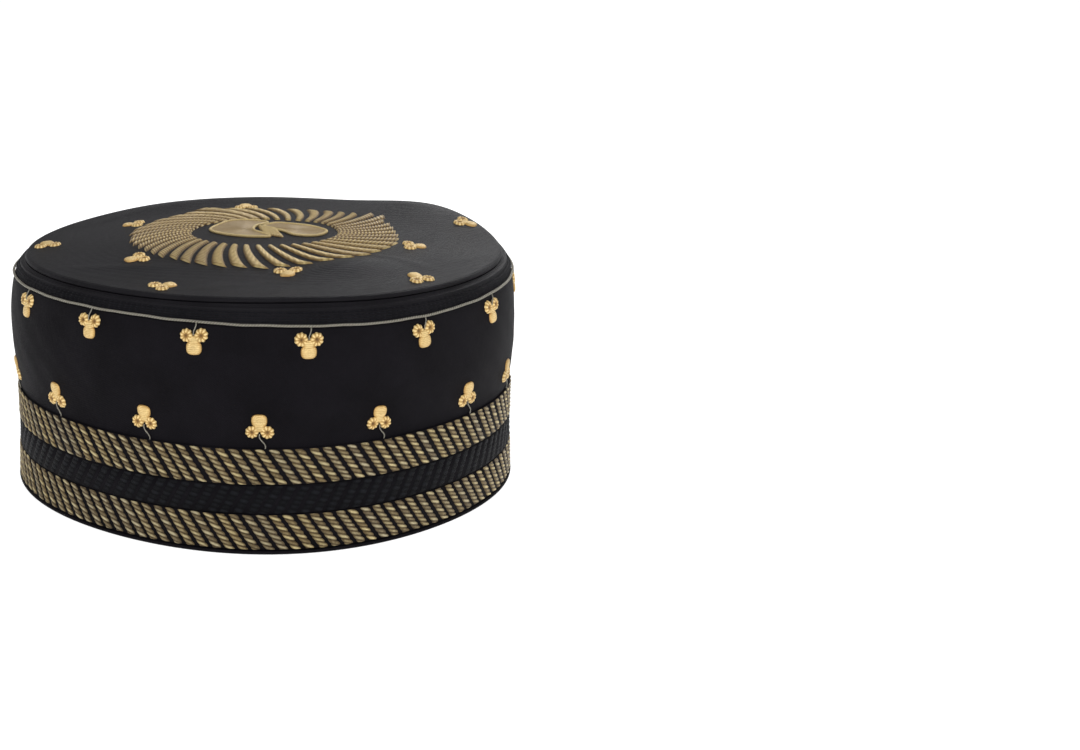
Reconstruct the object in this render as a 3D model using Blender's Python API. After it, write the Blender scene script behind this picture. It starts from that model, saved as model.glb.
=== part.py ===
# Round black cloth cap with gold embroidered bands, trefoils and a crown medallion.
# Metres, +Z up, the cap rests on its rim at z = 0, the long way of the head along X.
# Named sizes are millimetres, and MM turns them into metres. Lengths in the tables are shares of
# the named sizes that each table's heading gives.
import math

import bpy
import numpy as np

MM = 0.001

# outside plan of the cap at its rim
HALF_LENGTH = 100.0
HALF_WIDTH = 90.0
DIAGONAL_DRAW_IN = 0.026
STEPS_ROUND = 64

# layers, from the cloth outwards
GAP = 0.3
WALL_THICKNESS = 2.2
GOLD_RELIEF = 0.9
BLACK_RELIEF = 0.6
CROWN_THICKNESS = 1.6
CROWN_EDGE_THICKNESS = 1.0
CROWN_FACET_ROOM = 0.2
BINDING_HEIGHT = 1.4
BINDING_ROUNDING = 0.4
BINDING_LIP = 0.5
CORD_DIAMETER = 0.9
CORD_SIDES = 5

# the embroidered bands, from the binding upwards: how wide each one is
GOLD_LOWER_WIDTH = 13.0
BLACK_WIDTH = 10.3
GOLD_UPPER_WIDTH = 13.0

# cord above the rim, crown seam above the cord, and how far the cap leans to the left
CORD_HEIGHT = 84.0
STRIP_RISE = 6.0
LEAN = 0.9

# plan of the crown seam as a share of the rim plan
SEAM_SCALE = 0.935

# the rim strip bulges: where, and how far of the way in, as shares of its height and its slope
STRIP_BELLY_UP = 0.45
STRIP_BELLY_IN = 0.22

# the side wall as it goes up: height as a share of CORD_HEIGHT, plan scale, shift as a share of LEAN
WALL_PROFILE = (
    (0.000, 1.000, 0.00),
    (0.175, 0.992, 0.11),
    (0.460, 0.985, 0.33),
    (0.714, 0.999, 0.78),
    (0.893, 0.991, 1.00),
    (0.976, 0.977, 0.89),
    (1.095, 0.932, 0.44),
)

# lines round the cap: angle from +X in degrees, cord as a share of CORD_HEIGHT, seam above the
# cord as a share of STRIP_RISE
ROUND_LINES = (
    (0.0, 1.000, 0.82),
    (30.0, 1.029, 1.36),
    (60.0, 1.031, 0.90),
    (90.0, 1.019, 1.04),
    (120.0, 1.010, 1.10),
    (150.0, 0.999, 0.92),
    (180.0, 0.990, 0.77),
    (210.0, 0.986, 0.78),
    (240.0, 0.986, 0.83),
    (270.0, 0.975, 1.08),
    (300.0, 0.958, 1.08),
    (330.0, 0.971, 0.90),
)

# the crown stands above its seam: rise, and where the rise starts and ends as a share of the seam plan
CROWN_RISE = 3.4
RISE_FULL_AT = 0.34
RISE_NONE_AT = 1.0

# height of the crown's highest fold
FOLD_HEIGHT = 5.4

# soft folds and humps of the crown: x as a share of HALF_LENGTH, y of HALF_WIDTH, half length of
# HALF_LENGTH, half width of HALF_WIDTH, turn in degrees, height as a share of FOLD_HEIGHT
CROWN_FOLDS = (
    (-0.06, -0.600, 0.44, 0.222, 0.0, -0.33),
    (0.26, -0.578, 0.18, 0.122, 24.0, 0.67),
    (-0.22, 0.378, 0.30, 0.200, 20.0, 0.11),
    (-0.30, 0.733, 0.34, 0.133, 20.0, 0.26),
    (0.08, 0.778, 0.46, 0.133, 0.0, 0.26),
    (0.74, 0.380, 0.30, 0.260, 125.0, 0.50),
    (0.62, -0.378, 0.34, 0.122, 28.0, 0.17),
)

# the oval ray ring of the medallion: half sizes along X and across
RAY_COUNT = 44
RAY_INNER = 28.5
RAY_INNER_ACROSS = 23.6
RAY_OUTER = 52.4
RAY_OUTER_ACROSS = 46.8

# where the first ray starts, as a share of a ray's pitch, and how much closer together the rays
# stand at the left and right, and at the right alone
RAY_START = 0.73
RAY_CROWD_SIDES = 0.30
RAY_CROWD_RIGHT = 0.06

# how far a ray is turned on its way out, in degrees: the mean, the part that comes and goes
# round the ring, and the angle where it is largest
RAY_SWIRL = 16.5
RAY_SWIRL_CHANGE = 4.5
RAY_SWIRL_MOST_AT = 130.0
RAY_SHARE_INNER = 0.52
RAY_SHARE_OUTER = 0.70
RAY_RELIEF = 0.9
RAY_STEPS = 3
RAY_JOIN_WIDTH = 1.2

# the two leaves in the middle of the medallion: x, y round each outline as shares of RAY_INNER
LEAF_LEFT = (
    (-0.773, 0.180), (-0.612, -0.090), (-0.360, -0.259), (-0.126, -0.324), (0.036, -0.309),
    (-0.054, -0.108), (-0.162, 0.108), (-0.108, 0.396), (0.072, 0.612), (-0.180, 0.755),
    (-0.450, 0.719), (-0.647, 0.486),
)
LEAF_RIGHT = (
    (0.809, -0.126), (0.827, 0.036), (0.647, 0.288), (0.360, 0.486), (0.162, 0.558),
    (-0.018, 0.378), (0.090, 0.198), (0.234, 0.018), (0.342, -0.198), (0.504, -0.288),
    (0.683, -0.273),
)
# the comb of slanting strips between the leaves: x, y round its outline as shares of RAY_INNER
COMB_OUTLINE = (
    (-0.072, 0.360), (-0.115, 0.115), (-0.022, -0.094), (0.086, -0.302), (0.295, -0.259),
    (0.194, -0.022), (0.050, 0.165),
)
LEAF_RELIEF = 1.0
LEAF_EDGE = 0.6

# trefoils: how many stand in each row round the wall, and where each row starts
ROW_COUNT = 14
TREFOIL_TIP = 5.4
TREFOIL_NOTCH = 2.1
TREFOIL_RELIEF = 0.9
TREFOIL_EDGE = 0.5
TREFOIL_POINTS = 18
HANGING_START = 275.6
HANGING_DROP = 6.1
STANDING_START = 264.5
STANDING_RISE = 7.6

# hand-sewn unevenness along each row, in degrees: hanging row, standing row
ROW_DRIFT = (
    (0.0, 0.0), (2.8, 2.1), (1.6, 3.6), (0.6, -1.2), (-0.8, 0.4), (0.9, -0.6), (-0.5, 0.8),
    (0.4, 0.5), (1.0, -0.9), (-0.6, 0.3), (0.7, -0.4), (2.2, 0.9), (-0.4, -1.6), (0.5, -1.1),
)

# clear cloth between the rays and the trefoils sewn round them
RING_CLEARANCE = 1.0

# trefoils round the rays: angle round the crown, turn of the long lobe in degrees
RING_TREFOILS = (
    (152.7, 170.0),
    (211.4, 200.0),
    (274.6, 265.0),
    (341.6, 0.0),
    (94.4, 90.0),
)

# trefoils near the seam: angle round the crown, distance in from the seam as a share of
# TREFOIL_TIP, turn of the long lobe in degrees
SEAM_TREFOILS = (
    (237.7, 1.65, 30.0),
    (311.6, 1.52, 120.0),
    (11.6, 1.33, 330.0),
    (177.3, 1.43, 100.0),
)

BLACK_SATIN = (0.012, 0.010, 0.014)
CROWN_BLACK = (0.022, 0.020, 0.026)
GOLD_THREAD = (0.52, 0.36, 0.13)
PALE_THREAD = (0.48, 0.42, 0.30)


# remove whatever is there at the start
def clear_scene():
    for old in list(bpy.data.objects):
        bpy.data.objects.remove(old, do_unlink=True)


# one procedural surface, colour and roughness
def make_material(name, colour, roughness, metallic=0.0, sheen=0.0):
    material = bpy.data.materials.new(name)
    material.use_nodes = True
    shader = material.node_tree.nodes["Principled BSDF"]
    shader.inputs["Base Color"].default_value = (colour[0], colour[1], colour[2], 1.0)
    shader.inputs["Roughness"].default_value = roughness
    shader.inputs["Metallic"].default_value = metallic
    shader.inputs["Sheen Weight"].default_value = sheen
    return material


# smooth curve through rows (xs, ys): cubic pieces whose slope at a row is that of its neighbours
def smooth_table(x, xs, ys):
    x = np.clip(np.asarray(x, float), xs[0], xs[-1])
    slopes = np.gradient(ys, xs)
    k = np.clip(np.searchsorted(xs, x, side="right") - 1, 0, len(xs) - 2)
    h = xs[k + 1] - xs[k]
    t = (x - xs[k]) / h
    rise = ys[k] * (1 + 2 * t) * (1 - t) ** 2 + ys[k + 1] * t * t * (3 - 2 * t)
    bend = slopes[k] * h * t * (1 - t) ** 2 - slopes[k + 1] * h * t * t * (1 - t)
    return rise + bend


# the same for a table that comes round again after 360 degrees
def round_table(angle, column):
    rows = np.array(ROUND_LINES)
    xs = np.concatenate([rows[-2:, 0] - 360.0, rows[:, 0], rows[:2, 0] + 360.0])
    ys = np.concatenate([rows[-2:, column], rows[:, column], rows[:2, column]])
    return smooth_table(np.degrees(angle) % 360.0, xs, ys)


# rim plan: ellipse radius, drawn in on the diagonals by DRAW * (1 - cos 4a) / 2
def plan_radius(angle):
    c = np.cos(angle)
    s = np.sin(angle)
    ellipse = 1.0 / np.sqrt((c / HALF_LENGTH) ** 2 + (s / HALF_WIDTH) ** 2)
    return ellipse * (1.0 - DIAGONAL_DRAW_IN * (1.0 - np.cos(4.0 * angle)) / 2.0)


# plan scale of the wall at a height
def wall_scale(z):
    rows = np.array(WALL_PROFILE)
    return smooth_table(z, rows[:, 0] * CORD_HEIGHT, rows[:, 1])


# how far the wall has leant to the left at a height
def wall_shift(z):
    rows = np.array(WALL_PROFILE)
    return smooth_table(z, rows[:, 0] * CORD_HEIGHT, rows[:, 2] * LEAN)


# how far the plain cloth lies inside the cap's outermost plan
def cloth_inset():
    return GAP + GOLD_RELIEF


# point on the cap's side: plan radius times scale, less an inset, moved left by the lean
def side_point(angle, z, inset):
    r = plan_radius(angle) * wall_scale(z) - inset
    return np.stack([r * np.cos(angle) - wall_shift(z), r * np.sin(angle), z + 0.0 * angle], axis=-1)


# the bands lie one above the other with a gap between them
def lower_band_top():
    return BINDING_HEIGHT + GAP + GOLD_LOWER_WIDTH


def black_band_top():
    return lower_band_top() + GAP + BLACK_WIDTH


def upper_band_top():
    return black_band_top() + GAP + GOLD_UPPER_WIDTH


def cord_height(angle):
    return round_table(angle, 1) * CORD_HEIGHT


def seam_height(angle):
    return cord_height(angle) + round_table(angle, 2) * STRIP_RISE


# plan radius of the crown seam
def seam_radius(angle):
    return plan_radius(angle) * SEAM_SCALE - cloth_inset()


# centre of the crown's plan, moved left like the middle of the rim strip
def crown_centre_x():
    return -float(wall_shift(np.array(CORD_HEIGHT + STRIP_RISE / 2.0)))


# share of the way from the crown's centre to its seam, and the angle
def crown_polar(x, y):
    dx = np.asarray(x, float) - crown_centre_x()
    dy = np.asarray(y, float)
    angle = np.arctan2(dy, dx)
    return np.hypot(dx, dy) / seam_radius(angle), angle


# height of the crown's top face: seam height eased towards its mean, plus a rise that is full
# inside RISE_FULL_AT and nothing at the seam, plus the table of folds faded out at the seam
def crown_height(x, y):
    x = np.asarray(x, float)
    y = np.asarray(y, float)
    share, angle = crown_polar(x, y)
    mean = np.mean(seam_height(round_angles()))
    blend = np.clip(share, 0.0, 1.0) ** 2
    z = mean + (seam_height(angle) - mean) * blend + GAP + CROWN_THICKNESS
    t = np.clip((RISE_NONE_AT - share) / (RISE_NONE_AT - RISE_FULL_AT), 0.0, 1.0)
    z = z + CROWN_RISE * (0.35 * t + 0.65 * t * t * (3.0 - 2.0 * t))
    fade = 1.0 - np.clip(share, 0.0, 1.0) ** 10
    for fx, fy, length, width, turn, height in CROWN_FOLDS:
        c = math.cos(math.radians(turn))
        s = math.sin(math.radians(turn))
        along = x - fx * HALF_LENGTH
        across = y - fy * HALF_WIDTH
        u = (along * c + across * s) / (length * HALF_LENGTH)
        v = (-along * s + across * c) / (width * HALF_WIDTH)
        z = z + height * FOLD_HEIGHT * np.exp(-u * u - v * v) * fade
    return z


# put points in millimetres and faces into an object, and turn the faces outwards
def add_object(name, points, faces, material):
    mesh = bpy.data.meshes.new(name)
    mesh.from_pydata((np.asarray(points, float) * MM).tolist(), [], faces)
    mesh.validate()
    mesh.update()
    mesh.materials.append(material)
    obj = bpy.data.objects.new(name, mesh)
    bpy.context.scene.collection.objects.link(obj)
    if signed_volume(mesh) < 0.0:
        mesh.flip_normals()
    return obj


# volume by summing the tetrahedra from the origin to each face's triangles
def signed_volume(mesh):
    total = 0.0
    for face in mesh.polygons:
        p = [mesh.vertices[i].co for i in face.vertices]
        for k in range(1, len(p) - 1):
            total += p[0].dot(p[k].cross(p[k + 1])) / 6.0
    return total


# a closed ring: for each step round, a closed section of points in order
def ring_faces(steps, sides):
    faces = []
    for i in range(steps):
        j = (i + 1) % steps
        for k in range(sides):
            m = (k + 1) % sides
            faces.append((i * sides + k, j * sides + k, j * sides + m, i * sides + m))
    return faces


def round_angles():
    return np.arange(STEPS_ROUND) * 2.0 * math.pi / STEPS_ROUND


# a ring whose section is a list of (height, inset) functions of the angle
def add_side_ring(name, section, material):
    angle = round_angles()
    columns = []
    for height, inset in section:
        z = height(angle) if callable(height) else np.full_like(angle, height)
        columns.append(side_point(angle, z, inset))
    points = np.stack(columns, axis=1).reshape(-1, 3)
    return add_object(name, points, ring_faces(STEPS_ROUND, len(section)), material)


# a raised pad: an outline on a surface, straight sides and a low pyramid or flat top
def add_pad(name, outline, place, edge, top, material):
    n = len(outline)
    flat = np.asarray(outline, float)
    middle = flat.mean(axis=0)
    base = place(flat, GAP)
    upper = place(flat, GAP + edge)
    crest = place(middle[None, :], GAP + top)
    foot = place(middle[None, :], GAP)
    points = np.concatenate([base, upper, crest, foot])
    faces = []
    for i in range(n):
        j = (i + 1) % n
        faces.append((i, j, n + j, n + i))
        faces.append((n + i, n + j, 2 * n))
        faces.append((j, i, 2 * n + 1))
    return add_object(name, points, faces, material)


# three-lobed outline: r = notch + (tip - notch) * |cos 1.5 t| ** 0.8
def trefoil_outline(turn):
    t = np.arange(TREFOIL_POINTS) * 2.0 * math.pi / TREFOIL_POINTS
    r = TREFOIL_NOTCH + (TREFOIL_TIP - TREFOIL_NOTCH) * np.abs(np.cos(1.5 * t)) ** 0.8
    a = t + math.radians(turn)
    return np.stack([r * np.cos(a), r * np.sin(a)], axis=1)


# turns (along, up) on the side of the cap into a point a given lift above the cloth
def place_on_side(angle, z):
    reach = float(plan_radius(np.array(angle)))

    def place(flat, lift):
        a = angle + flat[:, 0] / reach
        return side_point(a, z + flat[:, 1], cloth_inset() - lift)

    return place


# turns plan x, y into a point a given lift above the crown
def place_on_crown(x, y):
    def place(flat, lift):
        px = x + flat[:, 0]
        py = y + flat[:, 1]
        return np.stack([px, py, crown_height(px, py) + CROWN_FACET_ROOM + lift], axis=1)

    return place


# the side wall: outer face, top edge, inner face, bottom edge
def build_side_wall(material):
    inside = cloth_inset() + WALL_THICKNESS
    bottom = BINDING_HEIGHT + GAP

    belly = WALL_PROFILE[3][0] * CORD_HEIGHT

    def top(angle):
        return cord_height(angle) - GAP / 2.0

    def shoulder(angle):
        return cord_height(angle) * 0.916

    section = [
        (bottom, cloth_inset()),
        (lower_band_top(), cloth_inset()),
        (upper_band_top(), cloth_inset()),
        (belly, cloth_inset()),
        (shoulder, cloth_inset()),
        (top, cloth_inset()),
        (top, inside),
        (shoulder, inside),
        (belly, inside),
        (upper_band_top(), inside),
        (bottom, inside),
    ]
    return add_side_ring("side_wall", section, material)


# the bound edge at the rim, flat underneath
def build_binding(material):
    inside = cloth_inset() + WALL_THICKNESS + BINDING_LIP
    section = [
        (0.0, BINDING_ROUNDING),
        (BINDING_ROUNDING, 0.0),
        (BINDING_HEIGHT, 0.0),
        (BINDING_HEIGHT, inside),
        (BINDING_ROUNDING, inside),
        (0.0, inside - BINDING_ROUNDING),
    ]
    return add_side_ring("bottom_binding", section, material)


# an embroidered band lying on the wall between two heights
def build_band(name, low, high, relief, material):
    back = cloth_inset() - GAP
    section = [(low, back), (low, back - relief), (high, back - relief), (high, back)]
    return add_side_ring(name, section, material)


# the cord sewn along the top of the wall: a round section carried round the cap
def build_cord(material):
    angle = round_angles()
    radius = CORD_DIAMETER / 2.0
    centre = cloth_inset() - GAP - radius
    columns = []
    for k in range(CORD_SIDES):
        a = 2.0 * math.pi * k / CORD_SIDES
        inset = centre - radius * math.cos(a)
        columns.append(side_point(angle, cord_height(angle) + radius * math.sin(a), inset))
    points = np.stack(columns, axis=1).reshape(-1, 3)
    return add_object("gold_cord", points, ring_faces(STEPS_ROUND, CORD_SIDES), material)


# the sloping strip from the cord up to the crown seam, one cloth thick
def build_rim_strip(material):
    angle = round_angles()
    low = cord_height(angle) + GAP / 2.0
    high = seam_height(angle)
    middle = low + STRIP_BELLY_UP * (high - low)
    seam = seam_radius(angle)
    foot = plan_radius(angle) * wall_scale(low) - cloth_inset()
    belly = foot + STRIP_BELLY_IN * (seam - foot)
    under = 0.2 * WALL_THICKNESS
    rows = [
        (foot, low), (belly, middle), (seam, high),
        (seam - WALL_THICKNESS, high - under), (belly - WALL_THICKNESS, middle - under),
        (foot - WALL_THICKNESS, low),
    ]
    shift = crown_centre_x()
    columns = [np.stack([r * np.cos(angle) + shift, r * np.sin(angle), z], axis=1) for r, z in rows]
    points = np.stack(columns, axis=1).reshape(-1, 3)
    return add_object("rim_strip", points, ring_faces(STEPS_ROUND, len(rows)), material)


# the crown: a top face and an under face one cloth apart, closed at the edge
def build_crown(material):
    angle = round_angles()
    n = STEPS_ROUND
    top_shares = (0.985, 0.92, 0.85, 0.78, 0.71, 0.64, 0.56, 0.46, 0.34, 0.18)
    under_shares = (0.985, 0.80, 0.60, 0.40, 0.20)
    seam = seam_radius(angle)

    def crown_row(share, drop):
        x = seam * share * np.cos(angle) + crown_centre_x()
        y = seam * share * np.sin(angle)
        return np.stack([x, y, crown_height(x, y) - drop], axis=1)

    edge_x = seam * np.cos(angle) + crown_centre_x()
    edge_y = seam * np.sin(angle)
    edge_top = np.stack([edge_x, edge_y, seam_height(angle) + GAP + CROWN_EDGE_THICKNESS], axis=1)
    edge_low = np.stack([edge_x, edge_y, seam_height(angle) + GAP], axis=1)
    rows = [crown_row(s, 0.0) for s in reversed(top_shares)] + [edge_top, edge_low]
    rows += [crown_row(s, CROWN_THICKNESS) for s in under_shares]
    middle = np.array([[crown_centre_x(), 0.0, 0.0]])
    middle[0, 2] = float(crown_height(crown_centre_x(), 0.0))
    points = np.concatenate(rows + [middle, middle - [[0.0, 0.0, CROWN_THICKNESS]]])
    top_middle = len(rows) * n
    faces = []
    last = (len(rows) - 1) * n
    for i in range(n):
        j = (i + 1) % n
        faces.append((i, j, top_middle))
        faces.append((last + j, last + i, top_middle + 1))
        for k in range(len(rows) - 1):
            a = k * n
            faces.append((a + i, a + n + i, a + n + j, a + j))
    return add_object("crown_panel", points, faces, material)


# radius of an oval at an angle, from its half sizes along X and across
def oval_radius(angle, along, across):
    return 1.0 / np.sqrt((np.cos(angle) / along) ** 2 + (np.sin(angle) / across) ** 2)


# angle where each ray starts: even steps t, less (sides / 2) * sin 2t and less right * sin t
def ray_starts():
    t = (np.arange(RAY_COUNT) + RAY_START) * 2.0 * math.pi / RAY_COUNT
    return t - RAY_CROWD_SIDES / 2.0 * np.sin(2.0 * t) - RAY_CROWD_RIGHT * np.sin(t)


# room that each ray has: half of the angle from the ray before to the ray after
def ray_pitches():
    starts = ray_starts()
    after = (np.roll(starts, -1) - starts) % (2.0 * math.pi)
    return (after + np.roll(after, 1)) / 2.0


# how far a ray that starts at an angle is turned on its way out
def ray_turn(angle):
    change = np.cos(angle - math.radians(RAY_SWIRL_MOST_AT))
    return np.radians(RAY_SWIRL + RAY_SWIRL_CHANGE * change)


# reach of a point of the ray ring: join is 0 at the inner edge and 1 where the rays leave the
# joining ring, share is 0 there and 1 at the tips
def ray_reach(angle, join, share):
    inner = oval_radius(angle, RAY_INNER, RAY_INNER_ACROSS)
    outer = oval_radius(angle, RAY_OUTER, RAY_OUTER_ACROSS)
    return inner + RAY_JOIN_WIDTH * join + (outer - inner - RAY_JOIN_WIDTH) * share


# the ray ring: each ray runs from the inner ring outwards, turned by the swirl as it goes, and
# the rays are joined by a narrow ring of thread at their inner ends
def build_ray_ring(material):
    steps = RAY_STEPS + 1
    centre = crown_centre_x()
    share = np.linspace(0.0, 1.0, steps)
    wide = RAY_SHARE_INNER + (RAY_SHARE_OUTER - RAY_SHARE_INNER) * share
    half = ray_pitches()[None, :] / 2.0 * wide[:, None]
    middle = ray_starts()
    columns = []
    for side in (-1.0, 1.0):
        for k in range(steps):
            columns.append((middle + ray_turn(middle) * share[k] + side * half[k], 1.0, share[k]))
    columns.append((middle - half[0], 0.0, 0.0))
    columns.append((middle + half[0], 0.0, 0.0))
    angle = np.stack([c[0] for c in columns], axis=1).reshape(-1)
    reach = np.stack([ray_reach(c[0], c[1], c[2]) for c in columns], axis=1).reshape(-1)
    x = centre + reach * np.cos(angle)
    y = reach * np.sin(angle)
    z = crown_height(x, y) + CROWN_FACET_ROOM + GAP
    low = np.stack([x, y, z], axis=1)
    high = np.stack([x, y, z + RAY_RELIEF], axis=1)
    points = np.concatenate([low, high])
    per = 2 * steps + 2
    total = RAY_COUNT * per
    faces = []
    for i in range(RAY_COUNT):
        a = i * per
        b = ((i + 1) % RAY_COUNT) * per
        inner_right = a + 2 * steps
        inner_left = a + 2 * steps + 1
        tops = [(a + k, a + k + 1, a + steps + k + 1, a + steps + k) for k in range(RAY_STEPS)]
        tops.append((inner_right, a, a + steps, inner_left))
        tops.append((inner_left, a + steps, b, b + 2 * steps))
        for face in tops:
            faces.append(tuple(v + total for v in face))
            faces.append(tuple(reversed(face)))
        rim = [a + k for k in range(steps)] + [a + steps + k for k in reversed(range(steps))] + [b]
        for p, q in zip(rim[:-1], rim[1:]):
            faces.append((p, q, q + total, p + total))
        bore = [b + 2 * steps, inner_left, inner_right]
        for p, q in zip(bore[:-1], bore[1:]):
            faces.append((p, q, q + total, p + total))
    return add_object("ray_ring", points, faces, material)


def build_medallion(gold, pale):
    build_ray_ring(gold)
    place = place_on_crown(0.0, 0.0)
    pieces = (
        ("leaf_left", LEAF_LEFT, gold),
        ("leaf_right", LEAF_RIGHT, gold),
        ("leaf_comb", COMB_OUTLINE, pale),
    )
    for name, shares, material in pieces:
        add_pad(name, np.array(shares) * RAY_INNER, place, LEAF_EDGE, LEAF_RELIEF, material)


# reach from the crown's centre, angle and turn of each trefoil on the crown
def crown_trefoil_places():
    places = []
    for angle, turn in RING_TREFOILS:
        a = math.radians(angle)
        tips = float(oval_radius(a, RAY_OUTER, RAY_OUTER_ACROSS))
        places.append((tips + RING_CLEARANCE + TREFOIL_TIP, a, turn))
    for angle, inset, turn in SEAM_TREFOILS:
        a = math.radians(angle)
        places.append((float(seam_radius(np.array(a))) - inset * TREFOIL_TIP, a, turn))
    return places


def build_trefoils(gold):
    for i in range(ROW_COUNT):
        drift = ROW_DRIFT[i % len(ROW_DRIFT)][0]
        angle = math.radians(HANGING_START + drift + i * 360.0 / ROW_COUNT)
        z = float(cord_height(np.array(angle))) - HANGING_DROP
        outline = trefoil_outline(270.0)
        place = place_on_side(angle, z)
        add_pad(f"hanging_trefoil_{i + 1:02d}", outline, place, TREFOIL_EDGE, TREFOIL_RELIEF, gold)
    for i in range(ROW_COUNT):
        drift = ROW_DRIFT[i % len(ROW_DRIFT)][1]
        angle = math.radians(STANDING_START + drift + i * 360.0 / ROW_COUNT)
        outline = trefoil_outline(90.0)
        place = place_on_side(angle, upper_band_top() + STANDING_RISE)
        add_pad(f"standing_trefoil_{i + 1:02d}", outline, place, TREFOIL_EDGE, TREFOIL_RELIEF, gold)
    for i, (reach, angle, turn) in enumerate(crown_trefoil_places()):
        place = place_on_crown(crown_centre_x() + reach * math.cos(angle), reach * math.sin(angle))
        outline = trefoil_outline(turn)
        add_pad(f"crown_trefoil_{i + 1:02d}", outline, place, TREFOIL_EDGE, TREFOIL_RELIEF, gold)


def main():
    clear_scene()
    satin = make_material("black_satin", BLACK_SATIN, 0.72, 0.0, 0.2)
    crown = make_material("crown_cloth", CROWN_BLACK, 0.68, 0.0, 0.3)
    gold = make_material("gold_thread", GOLD_THREAD, 0.42, 0.55)
    pale = make_material("pale_thread", PALE_THREAD, 0.45, 0.45)
    build_side_wall(satin)
    build_binding(satin)
    build_band("gold_band_lower", BINDING_HEIGHT + GAP, lower_band_top(), GOLD_RELIEF, gold)
    build_band("black_band", lower_band_top() + GAP, black_band_top(), BLACK_RELIEF, satin)
    build_band("gold_band_upper", black_band_top() + GAP, upper_band_top(), GOLD_RELIEF, gold)
    build_cord(pale)
    build_rim_strip(crown)
    build_crown(crown)
    build_medallion(gold, pale)
    build_trefoils(gold)


main()
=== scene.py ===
# Round black cap with gold embroidery. Lengths are millimetres until a mesh is made.
import math
import bpy
import numpy as np
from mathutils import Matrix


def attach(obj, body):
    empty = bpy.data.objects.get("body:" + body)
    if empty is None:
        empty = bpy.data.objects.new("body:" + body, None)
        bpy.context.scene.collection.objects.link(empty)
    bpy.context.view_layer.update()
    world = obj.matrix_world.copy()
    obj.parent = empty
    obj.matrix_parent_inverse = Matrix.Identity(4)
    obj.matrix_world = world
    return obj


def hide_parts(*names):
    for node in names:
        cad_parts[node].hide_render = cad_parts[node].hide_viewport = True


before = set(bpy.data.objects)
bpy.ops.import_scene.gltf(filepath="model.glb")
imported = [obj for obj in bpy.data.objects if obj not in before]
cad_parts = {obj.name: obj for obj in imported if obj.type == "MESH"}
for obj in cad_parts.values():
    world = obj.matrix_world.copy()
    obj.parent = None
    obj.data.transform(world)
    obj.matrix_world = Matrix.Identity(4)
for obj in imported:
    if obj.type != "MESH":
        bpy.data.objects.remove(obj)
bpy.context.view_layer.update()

scene = bpy.context.scene
print("frame loaded:", len(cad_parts), "nodes")

# main sizes of the cap, the same as in the model that the frame was packed from
cap = {
    "halfLength": 100.0, "halfWidth": 90.0, "drawIn": 0.026,
    "gap": 0.3, "relief": 0.9, "wall": 2.2, "crown": 1.6, "crownEdge": 1.0,
    "bindingTop": 1.4, "lowerBand": (1.7, 14.7), "blackBand": (15.0, 25.3), "upperBand": (25.6, 38.6),
    "cordHeight": 84.0, "stripRise": 6.0, "lean": 0.9, "seamScale": 0.935,
    "wallHeight": (0.000, 0.175, 0.460, 0.714, 0.893, 0.976, 1.095),
    "wallScale": (1.000, 0.992, 0.985, 0.999, 0.991, 0.977, 0.932),
    "wallLean": (0.00, 0.11, 0.33, 0.78, 1.00, 0.89, 0.44),
    "cordLine": (1.000, 1.029, 1.031, 1.019, 1.010, 0.999, 0.990, 0.986, 0.986, 0.975, 0.958, 0.971),
    "seamLine": (0.82, 1.36, 0.90, 1.04, 1.10, 0.92, 0.77, 0.78, 0.83, 1.08, 1.08, 0.90),
    "crownRise": 3.4, "riseFullAt": 0.34, "foldHeight": 5.4,
}

# large folds of the crown: x, y, half length, half width as shares of the plan, turn, height share
crownFolds = (
    (-0.06, -0.600, 0.44, 0.222, 0.0, -0.33),
    (0.26, -0.578, 0.18, 0.122, 24.0, 0.67),
    (-0.22, 0.378, 0.30, 0.200, 20.0, 0.11),
    (-0.30, 0.733, 0.34, 0.133, 20.0, 0.26),
    (0.08, 0.778, 0.46, 0.133, 0.0, 0.26),
    (0.74, 0.380, 0.30, 0.260, 125.0, 0.50),
    (0.62, -0.378, 0.34, 0.122, 28.0, 0.17),
)

# fine creases of the crown cloth: x, y, half length, half width in mm, turn, height in mm
crownCreases = (
    (-55.0, -38.0, 24.0, 3.0, -12.0, 0.30),
    (-18.0, -66.0, 30.0, 3.2, 4.0, 0.35),
    (30.0, -66.0, 22.0, 3.0, 16.0, 0.30),
    (46.0, -40.0, 13.0, 2.6, -30.0, 0.35),
    (66.0, -6.0, 16.0, 3.0, 62.0, 0.30),
    (70.0, -34.0, 16.0, 2.8, 40.0, 0.30),
    (-74.0, 10.0, 20.0, 3.4, 80.0, 0.25),
    (-60.0, 46.0, 18.0, 3.0, 45.0, 0.25),
    (20.0, 70.0, 26.0, 3.4, -6.0, 0.30),
    (64.0, 40.0, 18.0, 3.0, -40.0, 0.30),
)


# cubic through the rows, the slope at each row being that of its neighbours
def smoothTable(x, xs, ys):
    xs = np.asarray(xs, float)
    ys = np.asarray(ys, float)
    x = np.clip(np.asarray(x, float), xs[0], xs[-1])
    slopes = np.gradient(ys, xs)
    k = np.clip(np.searchsorted(xs, x, side="right") - 1, 0, len(xs) - 2)
    h = xs[k + 1] - xs[k]
    t = (x - xs[k]) / h
    rise = ys[k] * (1 + 2 * t) * (1 - t) ** 2 + ys[k + 1] * t * t * (3 - 2 * t)
    return rise + slopes[k] * h * t * (1 - t) ** 2 - slopes[k + 1] * h * t * t * (1 - t)


# the same for twelve values spread round the cap
def roundTable(angle, values):
    xs = np.arange(-2, 14) * 30.0
    ys = np.take(values, np.arange(-2, 14) % 12)
    return smoothTable(np.degrees(angle) % 360.0, xs, ys)


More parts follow.
